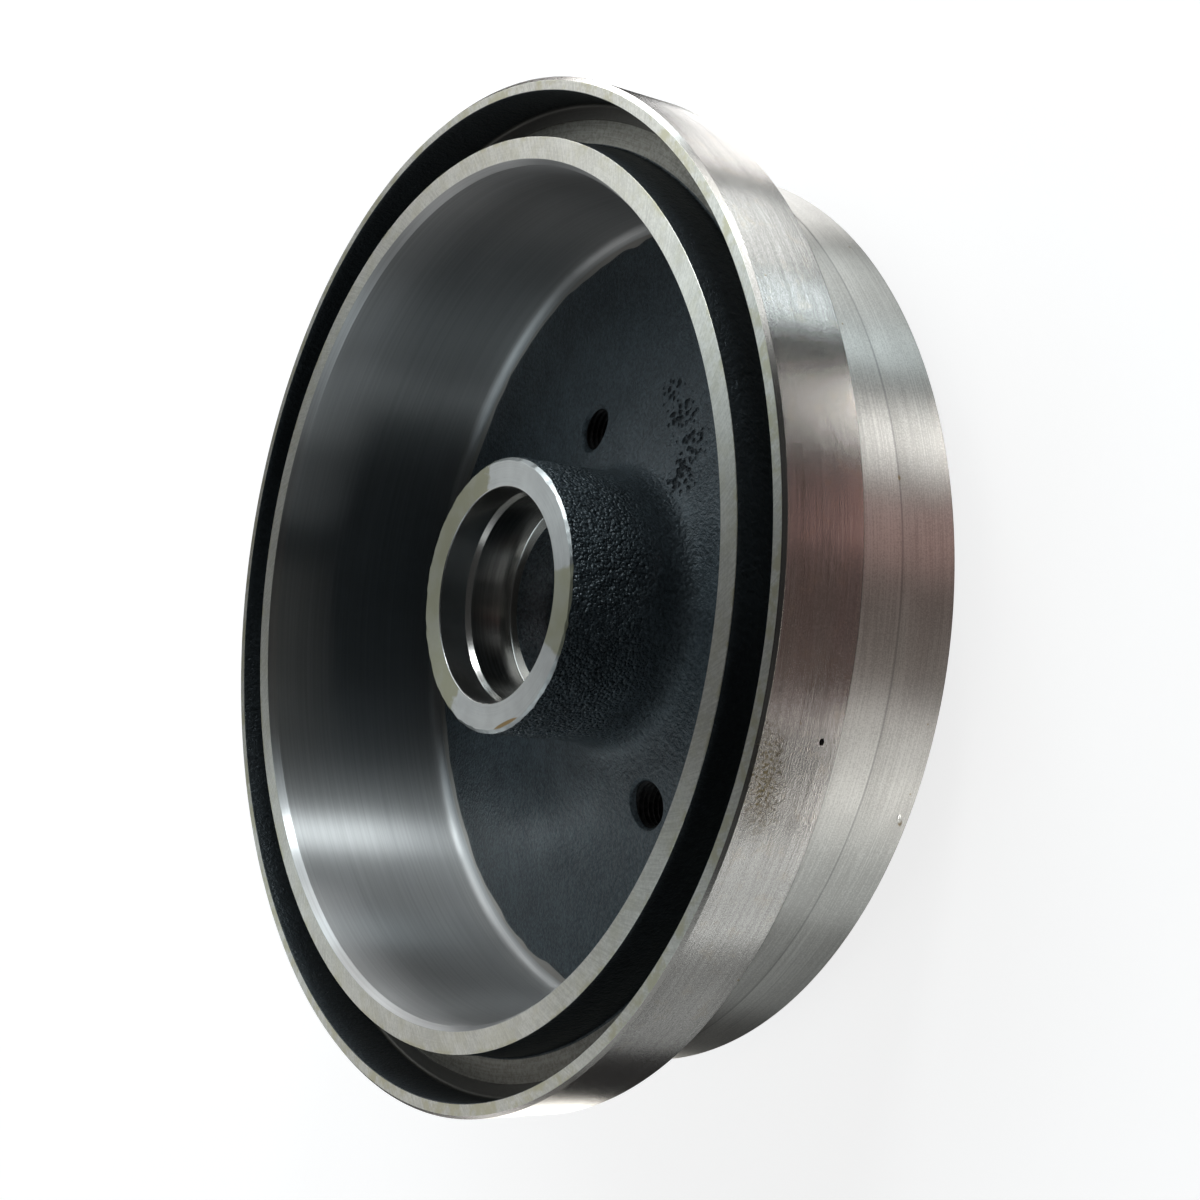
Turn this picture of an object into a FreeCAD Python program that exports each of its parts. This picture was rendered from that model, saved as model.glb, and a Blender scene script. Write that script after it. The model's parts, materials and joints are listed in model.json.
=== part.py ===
import FreeCAD, Part
import math
import os

# Rear brake drum with an integral wheel hub, for a small car with four wheel bolts.
#
# The real part is one grey iron casting: sand cast, then turned inside and out,
# bored for two taper-roller bearings and tapped for the wheel bolts. It is one
# solid here too, made from a single turned section and a pattern of tapped holes.
#
# Frame: millimetres, the drum's axis is Z, the open mouth faces up and the drum
# stands on the end of its wheel pilot at Z = 0. The bolt holes start at 45 degrees
# from +X. Inside, depths are measured down from the plane of the mouth, because
# the friction ring and the skirt are faced flush in that plane.

# Brake: friction surface, the wall that carries it and the ring at its foot
FRICTION_DIAMETER = 200.0
FRICTION_DEPTH = 52.5
MOUTH_CHAMFER = 1.0
MOUTH_CHAMFER_DEPTH = 2.0
FOOT_CHAMFER = 1.8
FOOT_RING_WIDTH = 4.7
FRICTION_WALL = 6.1
BARREL_WALL = 9.0
BARREL_CORNER = 3.0
LINE_DEPTH = 40.0
LINE_WIDTH = 0.5
LINE_CUT = 0.25

# Dust groove and skirt, which close over the backing plate's lip
GROOVE_WIDTH = 10.5
GROOVE_DEPTH = 12.8
GROOVE_DRAFT = 4.0
GROOVE_CUT = 0.3
GROOVE_CUT_WIDTH = 6.0
SKIRT_WALL = 3.4
SKIRT_LENGTH = 19.8
SKIRT_CHAMFER = 1.3
SKIRT_BACK_CHAMFER = 1.3

# Web: a shallow cone inside, a faced wheel seat outside
WEB_EDGE = 4.9
WEB_RISE = 4.0
CAST_STEP = 0.5
SEAT_DIAMETER = 146.0
SEAT_HEIGHT = 0.8

# Wheel fixing: four tapped holes and the pilot that centres the wheel
BOLT_COUNT = 4
BOLT_CIRCLE = 100.0
BOLT_START_ANGLE = 45.0
THREAD_DIAMETER = 12.0
THREAD_PITCH = 1.5
THREAD_SINK = 0.4
PILOT_DIAMETER = 57.0
PILOT_LENGTH = 9.8
PILOT_CHAMFER = 1.5

# Hub inside the drum
HUB_SETBACK = 11.3
HUB_DIAMETER = 66.0
HUB_CHAMFER = 1.0
HUB_DRAFT = 1.0
HUB_FILLET = 8.0

# Bores, from the hub's inner face outwards: seal, inner bearing, grease space
SEAL_DIAMETER = 51.8
SEAL_DEPTH = 7.4
EDGE_BREAK = 0.2
INNER_BEARING_DIAMETER = 50.29
INNER_LEAD = 1.3
INNER_SEAT_LENGTH = 11.6
INNER_SHOULDER_DIAMETER = 43.5

# Bores, from the pilot's end inwards: grease cap, outer bearing and its shoulder
CAP_DIAMETER = 44.0
CAP_DEPTH = 6.0
CAP_CHAMFER = 0.5
OUTER_BEARING_DIAMETER = 39.88
OUTER_SEAT_LENGTH = 12.0
OUTER_SHOULDER_DIAMETER = 34.0
OUTER_SHOULDER_LENGTH = 4.0

# Depths below the mouth and heights above the pilot's end that follow from these
BACK_DEPTH = FRICTION_DEPTH + WEB_EDGE
WHEEL_FACE_DEPTH = BACK_DEPTH + SEAT_HEIGHT
HEIGHT = WHEEL_FACE_DEPTH + PILOT_LENGTH

FRICTION_R = FRICTION_DIAMETER / 2
WALL_R = FRICTION_R + FRICTION_WALL
SKIRT_BORE_R = WALL_R + GROOVE_WIDTH
SKIRT_R = SKIRT_BORE_R + SKIRT_WALL
BARREL_R = FRICTION_R + BARREL_WALL
FOOT_RING_R = FRICTION_R - FOOT_RING_WIDTH
WEB_SLOPE = WEB_RISE / (FOOT_RING_R - BOLT_CIRCLE / 2)


def slope(degrees):
    """Sideways run for each millimetre along, at an angle in degrees."""
    return math.tan(math.radians(degrees))


def height_at(depth):
    """Height above the pilot's end of a point at a depth below the mouth."""
    return HEIGHT - depth


def web_depth(radius):
    """Depth of the web's inner cone: it rises evenly from the foot ring to the bolts."""
    rim_depth = FRICTION_DEPTH - CAST_STEP
    return rim_depth - (FOOT_RING_R - radius) * WEB_SLOPE


def hub_root():
    """Radius and depth where the hub's drafted side would meet the web's cone."""
    draft = slope(HUB_DRAFT)
    end_r = HUB_DIAMETER / 2
    drop = web_depth(end_r) - HUB_SETBACK
    radius = end_r + draft * drop / (1 - draft * WEB_SLOPE)
    return radius, web_depth(radius)


def rounded_section(corners):
    """Closed face in the XZ plane through (radius, height, fillet) corners.

    A corner with a fillet becomes an arc tangent to both of its sides: it starts
    fillet / tan(half the corner's angle) from the corner along each side.
    """
    points = [FreeCAD.Vector(radius, 0, height) for radius, height, _ in corners]
    edges = []
    arrivals = []
    departures = []
    for index, (_, _, fillet) in enumerate(corners):
        here = points[index]
        back = (points[index - 1] - here).normalize()
        ahead = (points[(index + 1) % len(points)] - here).normalize()
        half_angle = back.getAngle(ahead) / 2
        run = fillet / math.tan(half_angle)
        arrivals.append(here + back * run)
        departures.append(here + ahead * run)
        if fillet:
            inward = (back + ahead).normalize()
            to_arc = fillet / math.sin(half_angle) - fillet
            middle = here + inward * to_arc
            edges.append(Part.Arc(arrivals[-1], middle, departures[-1]).toShape())
    for index in range(len(points)):
        following = (index + 1) % len(points)
        edges.append(Part.LineSegment(departures[index], arrivals[following]).toShape())
    wire = Part.Wire(Part.sortEdges(edges)[0])
    return Part.Face(wire)


def outside_corners():
    """Outside of the section, from the pilot's end up to the edge of the skirt."""
    pilot_r = PILOT_DIAMETER / 2
    seat_r = SEAT_DIAMETER / 2
    wheel_z = height_at(WHEEL_FACE_DEPTH)
    back_z = height_at(BACK_DEPTH)
    line_z = height_at(LINE_DEPTH)
    skirt_back_z = height_at(SKIRT_LENGTH)
    return [
        (pilot_r - PILOT_CHAMFER, 0, 0),
        (pilot_r, PILOT_CHAMFER, 0),
        (pilot_r, wheel_z, 0),
        (seat_r, wheel_z, 0),
        (seat_r + SEAT_HEIGHT, back_z, 0),
        (BARREL_R - BARREL_CORNER, back_z, 0),
        (BARREL_R, back_z + BARREL_CORNER, 0),
        (BARREL_R, line_z - LINE_WIDTH / 2, 0),
        (BARREL_R - LINE_CUT, line_z, 0),
        (BARREL_R, line_z + LINE_WIDTH / 2, 0),
        (BARREL_R, skirt_back_z - SKIRT_BACK_CHAMFER, 0),
        (BARREL_R + SKIRT_BACK_CHAMFER, skirt_back_z, 0),
        (SKIRT_R, skirt_back_z, 0),
        (SKIRT_R, HEIGHT - SKIRT_CHAMFER, 0),
        (SKIRT_R - SKIRT_CHAMFER, HEIGHT, 0),
    ]


def mouth_corners():
    """Skirt, dust groove and friction ring, from the skirt's edge to the web."""
    floor_r = WALL_R + GROOVE_DEPTH * slope(GROOVE_DRAFT)
    floor_z = height_at(GROOVE_DEPTH)
    cut_z = floor_z - GROOVE_CUT
    foot_z = height_at(FRICTION_DEPTH)
    return [
        (SKIRT_BORE_R, HEIGHT, 0),
        (SKIRT_BORE_R, floor_z, 0),
        (floor_r + GROOVE_CUT_WIDTH, floor_z, 0),
        (floor_r + GROOVE_CUT_WIDTH, cut_z, 0),
        (floor_r, cut_z, 0),
        (WALL_R, HEIGHT, 0),
        (FRICTION_R + MOUTH_CHAMFER, HEIGHT, 0),
        (FRICTION_R, HEIGHT - MOUTH_CHAMFER_DEPTH, 0),
        (FRICTION_R, foot_z + FOOT_CHAMFER, 0),
        (FRICTION_R - FOOT_CHAMFER, foot_z, 0),
        (FOOT_RING_R + CAST_STEP, foot_z, 0),
        (FOOT_RING_R, foot_z + CAST_STEP, 0),
    ]


def hub_corners():
    """Hub inside the drum, from the web to the inner bearing's shoulder."""
    root_r, root_depth = hub_root()
    hub_r = HUB_DIAMETER / 2
    seal_r = SEAL_DIAMETER / 2
    seat_r = INNER_BEARING_DIAMETER / 2
    shoulder_r = INNER_SHOULDER_DIAMETER / 2
    face_z = height_at(HUB_SETBACK)
    seal_z = face_z - SEAL_DEPTH
    seat_z = seal_z - INNER_LEAD
    shoulder_z = seat_z - INNER_SEAT_LENGTH
    side_r = hub_r + HUB_CHAMFER * slope(HUB_DRAFT)
    return [
        (root_r, height_at(root_depth), HUB_FILLET),
        (side_r, face_z - HUB_CHAMFER, 0),
        (hub_r - HUB_CHAMFER, face_z, 0),
        (seal_r + EDGE_BREAK, face_z, 0),
        (seal_r, face_z - EDGE_BREAK, 0),
        (seal_r, seal_z, 0),
        (seat_r, seat_z, 0),
        (seat_r, shoulder_z, 0),
        (shoulder_r, shoulder_z, 0),
    ]


def pilot_bore_corners():
    """Bores of the pilot, from the grease space down to the pilot's end."""
    cap_r = CAP_DIAMETER / 2
    seat_r = OUTER_BEARING_DIAMETER / 2
    neck_r = OUTER_SHOULDER_DIAMETER / 2
    grease_r = INNER_SHOULDER_DIAMETER / 2
    shoulder_z = CAP_DEPTH + OUTER_SEAT_LENGTH
    neck_z = shoulder_z + OUTER_SHOULDER_LENGTH
    cone_z = neck_z + grease_r - neck_r
    return [
        (grease_r, cone_z, 0),
        (neck_r, neck_z, 0),
        (neck_r, shoulder_z, 0),
        (seat_r, shoulder_z, 0),
        (seat_r, CAP_DEPTH + CAP_CHAMFER, 0),
        (seat_r + CAP_CHAMFER, CAP_DEPTH, 0),
        (cap_r, CAP_DEPTH, 0),
        (cap_r, CAP_CHAMFER, 0),
        (cap_r + CAP_CHAMFER, 0, 0),
    ]


def turned_casting():
    """The whole section revolved about the drum's axis."""
    corners = outside_corners() + mouth_corners() + hub_corners() + pilot_bore_corners()
    section = rounded_section(corners)
    origin = FreeCAD.Vector(0, 0, 0)
    axis = FreeCAD.Vector(0, 0, 1)
    return section.revolve(origin, axis, 360)


def tapped_hole():
    """Tool for one bolt hole on the axis: tap drill with a countersink at each end."""
    drill_r = (THREAD_DIAMETER - 1.0825 * THREAD_PITCH) / 2
    mouth_r = THREAD_DIAMETER / 2 + THREAD_SINK
    sink = mouth_r - drill_r
    spare = 2.0
    low = height_at(WHEEL_FACE_DEPTH)
    high = height_at(web_depth(BOLT_CIRCLE / 2))
    drill = Part.makeCylinder(drill_r, high - low + 2 * spare, FreeCAD.Vector(0, 0, low - spare))
    wide_r = mouth_r + spare
    depth = sink + spare
    outer_sink = Part.makeCone(wide_r, drill_r, depth, FreeCAD.Vector(0, 0, low - spare))
    inner_sink = Part.makeCone(drill_r, wide_r, depth, FreeCAD.Vector(0, 0, high - sink))
    return drill.fuse([outer_sink, inner_sink])


def bolt_holes():
    """The tapped hole repeated around the bolt circle."""
    tool = tapped_hole()
    tool.translate(FreeCAD.Vector(BOLT_CIRCLE / 2, 0, 0))
    holes = []
    for number in range(BOLT_COUNT):
        angle = BOLT_START_ANGLE + number * 360.0 / BOLT_COUNT
        hole = tool.copy()
        hole.rotate(FreeCAD.Vector(0, 0, 0), FreeCAD.Vector(0, 0, 1), angle)
        holes.append(hole)
    return holes


def brake_drum():
    """Finished drum: the turned casting with its tapped bolt holes."""
    drum = turned_casting().cut(bolt_holes())
    return drum.Solids[0]


os.makedirs("parts", exist_ok=True)
drum = brake_drum()
drum.exportStep("parts/brake_drum.step")
box = drum.optimalBoundingBox()
print("valid", drum.isValid(), "faces", len(drum.Faces), "volume cm3", round(drum.Volume / 1000, 1))
print("height", round(box.ZLength, 3), "diameter", round(box.XLength, 3), "lowest", round(box.ZMin, 3))
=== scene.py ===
import bpy
import itertools
import json
import math
import numpy as np
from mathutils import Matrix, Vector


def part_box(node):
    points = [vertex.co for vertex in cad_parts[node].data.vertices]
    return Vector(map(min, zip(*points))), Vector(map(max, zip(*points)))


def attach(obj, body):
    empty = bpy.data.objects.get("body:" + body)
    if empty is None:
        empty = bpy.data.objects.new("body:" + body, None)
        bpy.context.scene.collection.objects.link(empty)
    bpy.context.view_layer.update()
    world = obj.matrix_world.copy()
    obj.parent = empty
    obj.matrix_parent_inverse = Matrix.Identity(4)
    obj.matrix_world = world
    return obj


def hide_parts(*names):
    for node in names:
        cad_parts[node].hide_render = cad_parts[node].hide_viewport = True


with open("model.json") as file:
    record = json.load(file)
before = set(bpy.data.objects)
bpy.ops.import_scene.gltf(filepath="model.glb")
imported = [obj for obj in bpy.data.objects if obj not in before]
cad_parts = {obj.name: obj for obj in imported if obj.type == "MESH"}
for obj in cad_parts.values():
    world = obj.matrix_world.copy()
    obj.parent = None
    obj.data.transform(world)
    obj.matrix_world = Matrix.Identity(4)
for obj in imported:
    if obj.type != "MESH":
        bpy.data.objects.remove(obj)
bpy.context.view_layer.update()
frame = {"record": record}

# Drum casting: grey iron, sand cast in one piece with its hub, then turned inside
# and out and bored for its bearings. Its section goes once round: pilot, wheel face,
# barrel, skirt, dust groove, friction bore, web, hub and the stepped bores inside it.
MM = 0.001
drum_low, drum_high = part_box("brake_drum")
mount = {row["name"]: row for row in frame["record"]["mounts"]}


def mount_radius(name):
    """Radius in millimetres that the record gives for a round mount."""
    return mount[name]["dims"]["r_mm"]


HEIGHT = (drum_high[2] - drum_low[2]) / MM
SKIRT_R = (drum_high[0] - drum_low[0]) / MM / 2
SKIRT_BORE_R = 116.6
SKIRT_LENGTH = 19.8
SKIRT_CHAMFER = 1.3
BARREL_R = 109.0
BARREL_CORNER = 3.0
BACK_ROOT_ROUND = 2.0
LINE_DEPTH = 40.0
LINE_WIDTH = 0.4
LINE_CUT = 0.12
BACK_Z = 10.6
WHEEL_Z = mount["wheel_face"]["pos_m"][2] / MM
WHEEL_SEAT_R = 73.0
WHEEL_SEAT_FLANK = 0.8
PILOT_R = mount_radius("wheel_pilot")
PILOT_CHAMFER = 1.5
PILOT_ROOT_ROUND = 0.8

FRICTION_R = mount_radius("friction_surface")
FRICTION_DEPTH = 52.5
MOUTH_CHAMFER = 1.0
MOUTH_CHAMFER_DEPTH = 2.0
WALL_R = 106.1
GROOVE_DEPTH = 12.8
GROOVE_FLOOR_R = 107.0
GROOVE_STEP_R = 113.0
GROOVE_CUT = 0.3
GROOVE_ROUND = 0.8
GROOVE_INNER_ROUND = 0.6
GROOVE_STEP_ROUND = 0.08
FOOT_ROUND = 2.5
FOOT_RING_R = 95.3
FOOT_STEP = 0.5
WEB_RISE = 4.0
BOLT_R = mount["wheel_bolts"]["dims"]["pcd_mm"] / 2

HUB_R = 33.0
HUB_DEPTH = 11.3
HUB_CHAMFER = 1.0
HUB_SIDE_EDGE = 0.25
HUB_FACE_EDGE = 0.2
HUB_ROOT_ROUND = 8.0
HUB_DRAFT = math.tan(math.radians(1.0))
SEAL_R = mount_radius("seal_seat")
SEAL_DEPTH = 7.4
SEAT_R = mount_radius("inner_bearing_seat")
SEAT_LEAD = 1.3
SEAT_LENGTH = 11.6
GREASE_R = 21.75
NECK_R = 17.0
NECK_LENGTH = 4.0
OUTER_SEAT_R = mount_radius("outer_bearing_seat")
OUTER_SEAT_LENGTH = 12.0
CAP_R = mount_radius("grease_cap_seat")
CAP_DEPTH = 6.0
BORE_CHAMFER = 0.5
BORE_EDGE = 0.1
SHOULDER_ROUND = 0.4
GREASE_ROUND = 1.0

EDGE = 0.15
SOFT_EDGE = 0.3
WIDE_ROUND_STEP = math.radians(13)
TIGHT_ROUND_STEP = math.radians(40)
PATCH_IN = 41.6
PATCH_OUT = 58.4

TURNED_STEP = 9.0
WALL_STEP = 12.0
CAST_STEP = 4.0
FOOT_RING_STEP = 2.0
WEB_STEP = 1.7
PATCH_STEP = 1.7
HUB_FOOT_STEP = 1.0
HUB_SIDE_STEP = 0.72

FINISHES = [
    "turned_outside",
    "faced_ring",
    "friction_bore",
    "black_skin",
    "groove_floor",
    "hub_face",
    "bearing_bores",
    "wheel_side",
    "thread",
]
(OUTSIDE, RING, FRICTION, BLACK, GROOVE, HUB_FACE, BORES, WHEEL, THREAD) = range(9)


def web_height(radius):
    """Web's inner cone: it rises evenly by WEB_RISE from the foot ring in to the bolts."""
    rim = HEIGHT - FRICTION_DEPTH + FOOT_STEP
    return rim + (FOOT_RING_R - radius) * WEB_RISE / (FOOT_RING_R - BOLT_R)


def outside_corners():
    """Pilot, wheel seat, barrel and skirt: radius, height, round, finish after it, step."""
    back_skirt = HEIGHT - SKIRT_LENGTH
    line = HEIGHT - LINE_DEPTH
    return [
        (PILOT_R - PILOT_CHAMFER, 0, EDGE, WHEEL, TURNED_STEP),
        (PILOT_R, PILOT_CHAMFER, EDGE, WHEEL, TURNED_STEP),
        (PILOT_R, WHEEL_Z, PILOT_ROOT_ROUND, WHEEL, TURNED_STEP),
        (PATCH_IN, WHEEL_Z, 0, WHEEL, PATCH_STEP),
        (PATCH_OUT, WHEEL_Z, 0, WHEEL, TURNED_STEP),
        (WHEEL_SEAT_R, WHEEL_Z, EDGE, WHEEL, TURNED_STEP),
        (WHEEL_SEAT_R + WHEEL_SEAT_FLANK, BACK_Z, SOFT_EDGE, BLACK, CAST_STEP),
        (BARREL_R - BARREL_CORNER, BACK_Z, SOFT_EDGE, OUTSIDE, TURNED_STEP),
        (BARREL_R, BACK_Z + BARREL_CORNER, SOFT_EDGE, OUTSIDE, TURNED_STEP),
        (BARREL_R, line - LINE_WIDTH / 2, 0, OUTSIDE, TURNED_STEP),
        (BARREL_R - LINE_CUT, line, 0, OUTSIDE, TURNED_STEP),
        (BARREL_R, line + LINE_WIDTH / 2, 0, OUTSIDE, TURNED_STEP),
        (BARREL_R, back_skirt, BACK_ROOT_ROUND, OUTSIDE, TURNED_STEP),
        (SKIRT_R, back_skirt, SOFT_EDGE, OUTSIDE, TURNED_STEP),
        (SKIRT_R, HEIGHT - SKIRT_CHAMFER, EDGE, OUTSIDE, TURNED_STEP),
        (SKIRT_R - SKIRT_CHAMFER, HEIGHT, EDGE, RING, TURNED_STEP),
    ]


def mouth_corners():
    """Skirt's edge, dust groove, friction ring and foot ring, from outside inwards."""
    floor = HEIGHT - GROOVE_DEPTH
    foot = HEIGHT - FRICTION_DEPTH
    return [
        (SKIRT_BORE_R, HEIGHT, EDGE, BLACK, TURNED_STEP),
        (SKIRT_BORE_R, floor, GROOVE_ROUND, GROOVE, TURNED_STEP),
        (GROOVE_STEP_R, floor, GROOVE_STEP_ROUND, GROOVE, TURNED_STEP),
        (GROOVE_STEP_R, floor - GROOVE_CUT, GROOVE_STEP_ROUND, GROOVE, TURNED_STEP),
        (GROOVE_FLOOR_R, floor - GROOVE_CUT, GROOVE_INNER_ROUND, BLACK, CAST_STEP),
        (WALL_R, HEIGHT, EDGE, RING, TURNED_STEP),
        (FRICTION_R + MOUTH_CHAMFER, HEIGHT, EDGE, FRICTION, TURNED_STEP),
        (FRICTION_R, HEIGHT - MOUTH_CHAMFER_DEPTH, EDGE, FRICTION, WALL_STEP),
        (FRICTION_R, foot, FOOT_ROUND, FRICTION, FOOT_RING_STEP),
        (FOOT_RING_R + FOOT_STEP, foot, 0, BLACK, TURNED_STEP),
        (FOOT_RING_R - FOOT_STEP, web_height(FOOT_RING_R), 0, BLACK, WEB_STEP),
        (PATCH_OUT, web_height(PATCH_OUT), 0, BLACK, PATCH_STEP),
        (PATCH_IN, web_height(PATCH_IN), 0, BLACK, HUB_FOOT_STEP),
    ]


def hub_corners():
    """Hub's rough side, its faced end, and the bores down to the inner shoulder."""
    face = HEIGHT - HUB_DEPTH
    seal = face - SEAL_DEPTH
    seat = seal - SEAT_LEAD
    shoulder = seat - SEAT_LENGTH
    web_fall = WEB_RISE / (FOOT_RING_R - BOLT_R)
    root_r = HUB_R + HUB_DRAFT * (face - web_height(HUB_R)) / (1 - HUB_DRAFT * web_fall)
    return [
        (root_r, web_height(root_r), HUB_ROOT_ROUND, BLACK, HUB_SIDE_STEP),
        (HUB_R + HUB_DRAFT, face - HUB_CHAMFER, HUB_SIDE_EDGE, HUB_FACE, TURNED_STEP),
        (HUB_R - HUB_CHAMFER, face, HUB_FACE_EDGE, HUB_FACE, TURNED_STEP),
        (SEAL_R, face, HUB_SIDE_EDGE, BORES, TURNED_STEP),
        (SEAL_R, seal, BORE_EDGE, BORES, TURNED_STEP),
        (SEAT_R, seat, BORE_EDGE, BORES, TURNED_STEP),
        (SEAT_R, shoulder, SHOULDER_ROUND, BORES, TURNED_STEP),
        (GREASE_R, shoulder, SOFT_EDGE, BLACK, TURNED_STEP),
    ]


def pilot_bore_corners():
    """Grease space, neck, outer bearing's seat and grease cap's seat, going down."""
    shoulder = CAP_DEPTH + OUTER_SEAT_LENGTH
    neck = shoulder + NECK_LENGTH
    return [
        (GREASE_R, neck + GREASE_R - NECK_R, GREASE_ROUND, BLACK, TURNED_STEP),
        (NECK_R, neck, SHOULDER_ROUND, BORES, TURNED_STEP),
        (NECK_R, shoulder, EDGE, BORES, TURNED_STEP),
        (OUTER_SEAT_R, shoulder, SOFT_EDGE, BORES, TURNED_STEP),
        (OUTER_SEAT_R, CAP_DEPTH + BORE_CHAMFER, 0, BORES, TURNED_STEP),
        (OUTER_SEAT_R + BORE_CHAMFER, CAP_DEPTH, 0, BORES, TURNED_STEP),
        (CAP_R, CAP_DEPTH, EDGE, BORES, TURNED_STEP),
        (CAP_R, BORE_CHAMFER, EDGE, BORES, TURNED_STEP),
        (CAP_R + BORE_CHAMFER, 0, EDGE, WHEEL, TURNED_STEP),
    ]


def section_rows(corners):
    """Rows of the closed section: their radius, height and the finish that follows.

    A corner with a round becomes an arc tangent to both its sides, which starts
    round / tan(half the corner's angle) away from it. Straight runs are divided
    evenly into parts no longer than the corner's step.
    """
    place = np.array([corner[:2] for corner in corners], float)
    rows = []
    arrivals = []
    for index, (_, _, rounding, finish, step) in enumerate(corners):
        here = place[index]
        back = place[index - 1] - here
        ahead = place[(index + 1) % len(corners)] - here
        back = back / np.linalg.norm(back)
        ahead = ahead / np.linalg.norm(ahead)
        half = math.acos(np.clip(back @ ahead, -1, 1)) / 2
        if rounding == 0:
            arc = here[None, :]
        else:
            inward = (back + ahead) / np.linalg.norm(back + ahead)
            centre = here + inward * rounding / math.sin(half)
            turn = math.pi - 2 * half
            bend = WIDE_ROUND_STEP if rounding > 1 else TIGHT_ROUND_STEP
            parts = max(2, round(turn / bend))
            swing = np.linspace(-turn / 2, turn / 2, parts + 1)[:, None]
            side = ahead - back
            side = side / np.linalg.norm(side)
            arc = centre + rounding * (np.sin(swing) * side - np.cos(swing) * inward)
        arrivals.append(arc[0])
        rows.append([arc, finish, step])
    stations = []
    finishes = []
    for index, (arc, finish, step) in enumerate(rows):
        leave = arc[-1]
        reach = arrivals[(index + 1) % len(rows)]
        parts = max(1, math.ceil(np.linalg.norm(reach - leave) / step - 1e-6))
        share = np.arange(1, parts)[:, None] / parts
        run = leave + (reach - leave) * share
        strip = np.vstack([arc, run])
        stations.append(strip)
        finishes.append(np.full(len(strip), finish))
    stations = np.vstack(stations)
    return stations[:, 0], stations[:, 1], np.concatenate(finishes)


def value_noise(points, size, seed):
    """Smooth noise from -1 to 1 at points in millimetres, for cells of a given size.

    Each corner of a cubic lattice has a scrambled value, and a point takes the mean
    of its cell's eight corners, weighted by s * s * (3 - 2 * s) along each axis.
    """
    cell = points / size
    low = np.floor(cell).astype(np.int64)
    share = cell - low
    share = share * share * (3 - 2 * share)
    noise = np.zeros(len(points))
    for corner in itertools.product((0, 1), repeat=3):
        knot = low + np.array(corner)
        mixed = knot @ np.array([73856093, 19349663, 83492791]) + seed * 2654435761
        mixed = (mixed ^ (mixed >> 13)) * 1274126177 & 0xFFFFFFFF
        mixed = (mixed ^ (mixed >> 16)) * 2246822519 & 0xFFFFFFFF
        value = (mixed ^ (mixed >> 15)) % 65536 / 32767.5 - 1
        weight = np.prod(np.where(np.array(corner), share, 1 - share), axis=1)
        noise += value * weight
    return noise


def ramp(values, low, high):
    """Smooth step of an array: 0 below low, 1 above high."""
    share = np.clip((values - low) / (high - low), 0, 1)
    return share * share * (3 - 2 * share)


COLUMNS = 360
LEAST_BREADTH = 0.1
FOOT_WANDER = 0.9
WANDER_SIZE = 13.0
FINE_WANDER_SIZE = 4.5
FINE_WANDER = 0.6
WANDER_START_R = 84.0
WANDER_ROWS_R = 80.0
WANDER_BAND = 2.0

row_r, row_z, row_finish = section_rows(
    outside_corners() + mouth_corners() + hub_corners() + pilot_bore_corners()
)
ROWS = len(row_r)
column_angle = np.arange(COLUMNS) * 2 * math.pi / COLUMNS

# The tool ran out of the foot ring into the rough web, so the bright ring's inner
# edge wanders: rows near FOOT_RING_R move in or out by a noise round the drum.
round_path = np.column_stack([np.cos(column_angle), np.sin(column_angle), np.zeros(COLUMNS)])
foot_path = round_path * FOOT_RING_R
wander = value_noise(foot_path, WANDER_SIZE, 5)
wander = wander + FINE_WANDER * value_noise(foot_path, FINE_WANDER_SIZE, 6)
on_floor = (row_z < HEIGHT - FRICTION_DEPTH + WANDER_BAND) & (row_r > WANDER_ROWS_R)
on_floor &= row_r < FRICTION_R - FOOT_ROUND
inner_side = on_floor & ((row_finish != FRICTION) | (row_r < FOOT_RING_R + 1))
inner_side &= np.arange(ROWS) > np.argmax(row_finish == RING)
pull = np.where(inner_side, ramp(row_r, WANDER_START_R, FOOT_RING_R - FOOT_STEP), 0)
grid_r = row_r[:, None] + FOOT_WANDER * pull[:, None] * wander[None, :]
grid_z = np.repeat(row_z[:, None], COLUMNS, axis=1)
on_web = inner_side & (row_r <= FOOT_RING_R - FOOT_STEP + 1e-6)
grid_z[on_web] = web_height(grid_r[on_web])


def scale_chamfer(corner_r, corner_z, size, breadth):
    """Draws the rows of one chamfer towards its sharp corner, by breadth round the drum."""
    reach = size + SOFT_EDGE + 0.1
    rows = (np.abs(row_r - corner_r) < reach) & (np.abs(row_z - corner_z) < reach)
    breadth = np.maximum(breadth, LEAST_BREADTH)
    grid_r[rows] = corner_r + (grid_r[rows] - corner_r) * breadth
    grid_z[rows] = corner_z + (grid_z[rows] - corner_z) * breadth


# The hub's facing cut ran out of true with its cast side, so the chamfer at its edge
# is broad on two sides and almost gone between them, with nibbles out of its edge.
# The skirt's chamfer is a little off centre too, and narrow on the camera's side.
HUB_BREADTH = 0.32
HUB_BREADTH_SWING = 0.50
HUB_NIBBLE = 0.15
HUB_NIBBLE_SIZE = 5.0
HUB_FINE_NIBBLE = 0.20
HUB_FINE_NIBBLE_SIZE = 1.7
HUB_NARROW_ANGLE = math.radians(12)
SKIRT_BREADTH = 0.77
SKIRT_BREADTH_SWING = 0.23
SKIRT_NARROW_ANGLE = math.radians(-20)

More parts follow.
